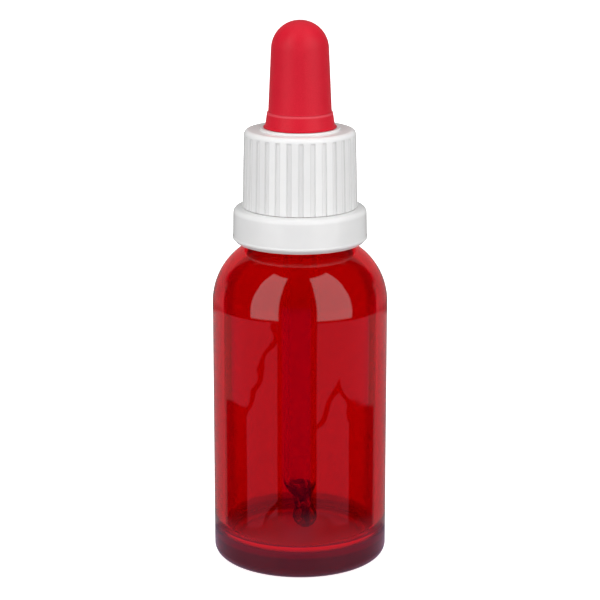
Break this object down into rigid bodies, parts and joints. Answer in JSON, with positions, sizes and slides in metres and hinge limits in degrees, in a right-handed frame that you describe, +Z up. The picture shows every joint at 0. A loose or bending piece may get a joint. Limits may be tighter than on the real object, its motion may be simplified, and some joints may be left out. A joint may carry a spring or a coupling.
{
  "type": "dropper bottle",
  "caption": "Red glass dropper bottle with a ribbed white screw cap, tamper ring, rubber bulb and ball-tipped glass pipette.",
  "frame": {"origin": "centre of the ring on the base that the bottle stands on", "axes": "+Z up along the bottle's axis, -Y the front, +X to the right seen from the front; the pipette's tip bends towards +X"},
  "size_m": [0.033, 0.033, 0.103],
  "materials": {
    "red_glass": "smooth transparent red glass",
    "white_plastic": "moulded white plastic, satin",
    "red_rubber": "matte moulded rubber",
    "clear_glass": "smooth clear drawn glass"
  },
  "bodies": {
    "bottle": {"glass_bottle": "red_glass"},
    "ring": {"tamper_ring": "white_plastic"},
    "cap": {"screw_cap": "white_plastic", "glass_pipette": "clear_glass"},
    "bulb": {"rubber_bulb": "red_rubber"}
  },
  "joints": [
    {"name": "cap_turn", "type": "hinge", "parent": "bottle", "child": "ring", "pos_m": [0, 0, 0.065], "axis": [0, 0, 1], "range_deg": [0, 720]},
    {"name": "cap_rise", "type": "slide", "parent": "ring", "child": "cap", "axis": [0, 0, 1], "range_m": [0, 0.0061]},
    {"name": "bulb_press", "type": "slide", "parent": "cap", "child": "bulb", "axis": [0, 0, -1], "range_m": [0, 0.005], "stiffness_N_per_m": 400, "deforming": ["rubber_bulb"]}
  ],
  "couplings": [
    {"joint": "cap_rise", "follows": "cap_turn", "m_per_rad": 0.00047746}
  ]
}
